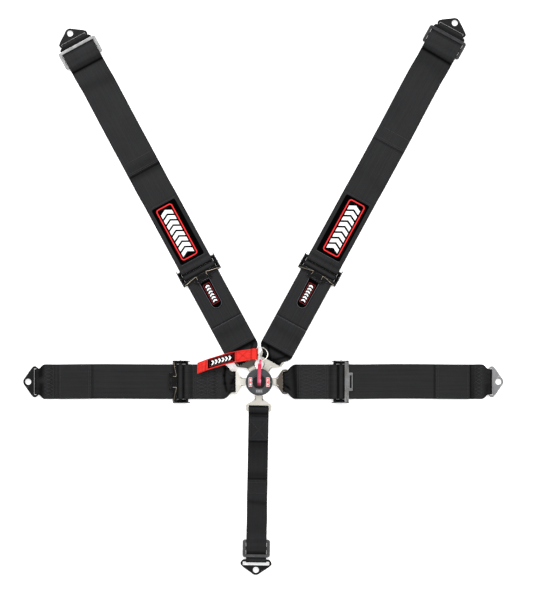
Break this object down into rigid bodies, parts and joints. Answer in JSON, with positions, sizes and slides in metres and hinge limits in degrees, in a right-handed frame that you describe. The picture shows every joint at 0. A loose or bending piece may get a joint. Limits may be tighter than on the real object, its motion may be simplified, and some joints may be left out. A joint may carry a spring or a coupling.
{
  "type": "racing harness",
  "caption": "Flat-laid racing harness: wide shoulder and lap belts and a narrow crotch belt latched into a rotary cam-lock buckle with a red lever and pull strap.",
  "frame": {"origin": "on the buckle's turning axis, at the flat back face of the buckle", "axes": "+Z out of the buckle's face, +Y towards the shoulder belts, +X towards the lap belt on the right of the view"},
  "size_m": [1.05, 1.218, 0.031],
  "materials": {
    "webbing_black": "woven polyester webbing",
    "webbing_red": "woven polyester webbing",
    "label_black": "sewn label with a printed pattern",
    "case_steel": "black coated",
    "ring_graphite": "satin graphite coating",
    "mark_print": "raised printed pads",
    "zinc_steel": "zinc plated",
    "knob_black": "black coated",
    "lever_red": "red anodised",
    "spring_steel": "drawn wire",
    "plated_nickel": "nickel plated",
    "bracket_black": "black coated",
    "bracket_silver": "zinc plated",
    "slide_silver": "zinc plated",
    "slide_grey": "grey coated",
    "adjuster_black": "black coated",
    "spring_gold": "gold zinc plated wire"
  },
  "bodies": {
    "buckle": {"buckle_back_plate": "case_steel", "buckle_housing": "case_steel", "buckle_face_ring": "ring_graphite", "buckle_turn_marks": "mark_print", "case_screws": "zinc_steel", "pin_return_spring": "spring_steel", "tongue_left_lap": "plated_nickel", "left_lap_short_strap": "webbing_black"},
    "lever": {"lever_rotor": "zinc_steel", "lever_knob": "knob_black", "release_lever": "lever_red"},
    "pin_carrier": {"pin_lift_plate": "zinc_steel", "lock_pins": "zinc_steel"},
    "pull_ring": {"lever_pull_ring": "plated_nickel"},
    "pull_strap": {"pull_strap": "webbing_red", "pull_strap_label": "label_black"},
    "right_lap_tongue": {"tongue_right_lap": "plated_nickel"},
    "right_lap_short": {"right_lap_short_strap": "webbing_black"},
    "left_lap_adjuster": {"left_lap_adjuster_frame": "adjuster_black", "left_lap_adjuster_lock_bar": "adjuster_black", "left_lap_adjuster_springs": "spring_gold"},
    "left_lap_anchor": {"left_lap_webbing": "webbing_black"},
    "left_lap_tail": {"left_lap_tail": "webbing_black"},
    "left_lap_bracket": {"left_lap_bracket": "bracket_black"},
    "right_lap_adjuster": {"right_lap_adjuster_frame": "adjuster_black", "right_lap_adjuster_lock_bar": "adjuster_black", "right_lap_adjuster_springs": "spring_gold"},
    "right_lap_anchor": {"right_lap_webbing": "webbing_black"},
    "right_lap_tail": {"right_lap_tail": "webbing_black"},
    "right_lap_bracket": {"right_lap_bracket": "bracket_silver"},
    "left_shoulder_tongue": {"tongue_left_shoulder": "plated_nickel", "left_shoulder_lower_strap": "webbing_black"},
    "left_shoulder_adjuster": {"left_shoulder_adjuster_frame": "adjuster_black", "left_shoulder_adjuster_lock_bar": "adjuster_black", "left_shoulder_adjuster_springs": "spring_gold", "left_shoulder_pull_tab": "label_black"},
    "left_shoulder_tail": {"left_shoulder_tail": "webbing_black"},
    "left_shoulder_upper": {"left_shoulder_upper_strap": "webbing_black", "left_shoulder_label": "label_black", "left_shoulder_slide": "slide_silver"},
    "left_shoulder_bracket": {"left_shoulder_bracket": "bracket_black"},
    "right_shoulder_tongue": {"tongue_right_shoulder": "plated_nickel", "right_shoulder_lower_strap": "webbing_black"},
    "right_shoulder_adjuster": {"right_shoulder_adjuster_frame": "adjuster_black", "right_shoulder_adjuster_lock_bar": "adjuster_black", "right_shoulder_adjuster_springs": "spring_gold", "right_shoulder_pull_tab": "label_black"},
    "right_shoulder_tail": {"right_shoulder_tail": "webbing_black"},
    "right_shoulder_upper": {"right_shoulder_upper_strap": "webbing_black", "right_shoulder_label": "label_black", "right_shoulder_slide": "slide_grey"},
    "right_shoulder_bracket": {"right_shoulder_bracket": "bracket_black"},
    "crotch_tongue": {"tongue_crotch": "plated_nickel"},
    "crotch_belt": {"crotch_strap": "webbing_black", "crotch_slide": "slide_grey"},
    "crotch_bracket": {"crotch_bracket": "bracket_black"}
  },
  "joints": [
    {"name": "lever_turn", "type": "hinge", "parent": "buckle", "child": "lever", "pos_m": [0, 0, 0.025], "axis": [0, 0, 1], "range_deg": [0, 75]},
    {"name": "pin_lift", "type": "slide", "parent": "buckle", "child": "pin_carrier", "axis": [0, 0, 1], "range_m": [0, 0.0063], "deforming": ["pin_return_spring"]},
    {"name": "pull_ring_tilt", "type": "hinge", "parent": "lever", "child": "pull_ring", "pos_m": [0.001, 0.046, 0.026], "axis": [1, 0, 0], "range_deg": [0, 20]},
    {"name": "pull_strap_lift", "type": "hinge", "parent": "pull_ring", "child": "pull_strap", "pos_m": [-0.0095, 0.06062, 0.02125], "axis": [0, 0.9511, -0.309], "range_deg": [0, 12]},
    {"name": "right_lap_release", "type": "slide", "parent": "buckle", "child": "right_lap_tongue", "axis": [1, 0, 0], "range_m": [0, 0.02]},
    {"name": "right_lap_tongue_fold", "type": "hinge", "parent": "right_lap_tongue", "child": "right_lap_short", "pos_m": [0.06, 0, 0.0066], "axis": [0, -1, 0], "range_deg": [0, 60]},
    {"name": "left_lap_adjuster_fold", "type": "hinge", "parent": "buckle", "child": "left_lap_adjuster", "pos_m": [-0.158, 0, 0.006], "axis": [0, 1, 0], "range_deg": [0, 75]},
    {"name": "left_lap_adjust", "type": "slide", "parent": "left_lap_adjuster", "child": "left_lap_anchor", "axis": [-1, 0, 0], "range_m": [0, 0.1], "deforming": ["left_lap_webbing"]},
    {"name": "left_lap_tail_feed", "type": "slide", "parent": "left_lap_adjuster", "child": "left_lap_tail", "axis": [1, 0, 0], "range_m": [0, 0.1], "deforming": ["left_lap_tail"]},
    {"name": "left_lap_bracket_swing", "type": "hinge", "parent": "left_lap_anchor", "child": "left_lap_bracket", "pos_m": [-0.4845, 0, 0.005], "axis": [0, 1, 0], "range_deg": [0, 70]},
    {"name": "right_lap_adjuster_fold", "type": "hinge", "parent": "right_lap_short", "child": "right_lap_adjuster", "pos_m": [0.165, 0, 0.006], "axis": [0, -1, 0], "range_deg": [0, 75]},
    {"name": "right_lap_adjust", "type": "slide", "parent": "right_lap_adjuster", "child": "right_lap_anchor", "axis": [1, 0, 0], "range_m": [0, 0.1], "deforming": ["right_lap_webbing"]},
    {"name": "right_lap_tail_feed", "type": "slide", "parent": "right_lap_adjuster", "child": "right_lap_tail", "axis": [-1, 0, 0], "range_m": [0, 0.1], "deforming": ["right_lap_tail"]},
    {"name": "right_lap_bracket_swing", "type": "hinge", "parent": "right_lap_anchor", "child": "right_lap_bracket", "pos_m": [0.5025, 0, 0.005], "axis": [0, -1, 0], "range_deg": [0, 70]},
    {"name": "left_shoulder_release", "type": "slide", "parent": "buckle", "child": "left_shoulder_tongue", "axis": [-0.4772, 0.8788, 0], "range_m": [0, 0.02]},
    {"name": "left_shoulder_adjust", "type": "slide", "parent": "left_shoulder_tongue", "child": "left_shoulder_adjuster", "axis": [-0.4772, 0.8788, 0], "range_m": [0, 0.08], "deforming": ["left_shoulder_lower_strap"]},
    {"name": "left_shoulder_tail_feed", "type": "slide", "parent": "left_shoulder_adjuster", "child": "left_shoulder_tail", "axis": [-0.4772, 0.8788, 0], "range_m": [0, 0.08], "deforming": ["left_shoulder_tail"]},
    {"name": "left_shoulder_upper_fold", "type": "hinge", "parent": "left_shoulder_adjuster", "child": "left_shoulder_upper", "pos_m": [-0.13838, 0.25486, 0.006], "axis": [0.8788, 0.4772, 0], "range_deg": [0, 75]},
    {"name": "left_shoulder_bracket_swing", "type": "hinge", "parent": "left_shoulder_upper", "child": "left_shoulder_bracket", "pos_m": [-0.40368, 0.74348, 0.005], "axis": [0.8788, 0.4772, 0], "range_deg": [0, 40]},
    {"name": "right_shoulder_release", "type": "slide", "parent": "buckle", "child": "right_shoulder_tongue", "axis": [0.4787, 0.878, 0], "range_m": [0, 0.02]},
    {"name": "right_shoulder_adjust", "type": "slide", "parent": "right_shoulder_tongue", "child": "right_shoulder_adjuster", "axis": [0.4787, 0.878, 0], "range_m": [0, 0.08], "deforming": ["right_shoulder_lower_strap"]},
    {"name": "right_shoulder_tail_feed", "type": "slide", "parent": "right_shoulder_adjuster", "child": "right_shoulder_tail", "axis": [0.4787, 0.878, 0], "range_m": [0, 0.08], "deforming": ["right_shoulder_tail"]},
    {"name": "right_shoulder_upper_fold", "type": "hinge", "parent": "right_shoulder_adjuster", "child": "right_shoulder_upper", "pos_m": [0.13978, 0.25637, 0.006], "axis": [0.878, -0.4787, 0], "range_deg": [0, 75]},
    {"name": "right_shoulder_bracket_swing", "type": "hinge", "parent": "right_shoulder_upper", "child": "right_shoulder_bracket", "pos_m": [0.4179, 0.76648, 0.005], "axis": [0.878, -0.4787, 0], "range_deg": [0, 40]},
    {"name": "crotch_release", "type": "slide", "parent": "buckle", "child": "crotch_tongue", "axis": [-0.0175, -0.9998, 0], "range_m": [0, 0.02]},
    {"name": "crotch_tongue_fold", "type": "hinge", "parent": "crotch_tongue", "child": "crotch_belt", "pos_m": [-0.00105, -0.05999, 0.0066], "axis": [-0.9998, 0.0175, 0], "range_deg": [0, 75]},
    {"name": "crotch_bracket_swing", "type": "hinge", "parent": "crotch_belt", "child": "crotch_bracket", "pos_m": [-0.00682, -0.39094, 0.005], "axis": [-0.9998, 0.0175, 0], "range_deg": [0, 70]}
  ],
  "couplings": [
    {"joint": "pin_lift", "follows": "lever_turn", "m_per_rad": 0.0048128},
    {"joint": "right_lap_release", "follows": "lever_turn", "m_per_rad": 0.015279},
    {"joint": "left_lap_tail_feed", "follows": "left_lap_adjust", "ratio": 1},
    {"joint": "right_lap_tail_feed", "follows": "right_lap_adjust", "ratio": 1},
    {"joint": "left_shoulder_release", "follows": "lever_turn", "m_per_rad": 0.015279},
    {"joint": "left_shoulder_tail_feed", "follows": "left_shoulder_adjust", "ratio": 1},
    {"joint": "right_shoulder_release", "follows": "lever_turn", "m_per_rad": 0.015279},
    {"joint": "right_shoulder_tail_feed", "follows": "right_shoulder_adjust", "ratio": 1},
    {"joint": "crotch_release", "follows": "lever_turn", "m_per_rad": 0.015279}
  ]
}
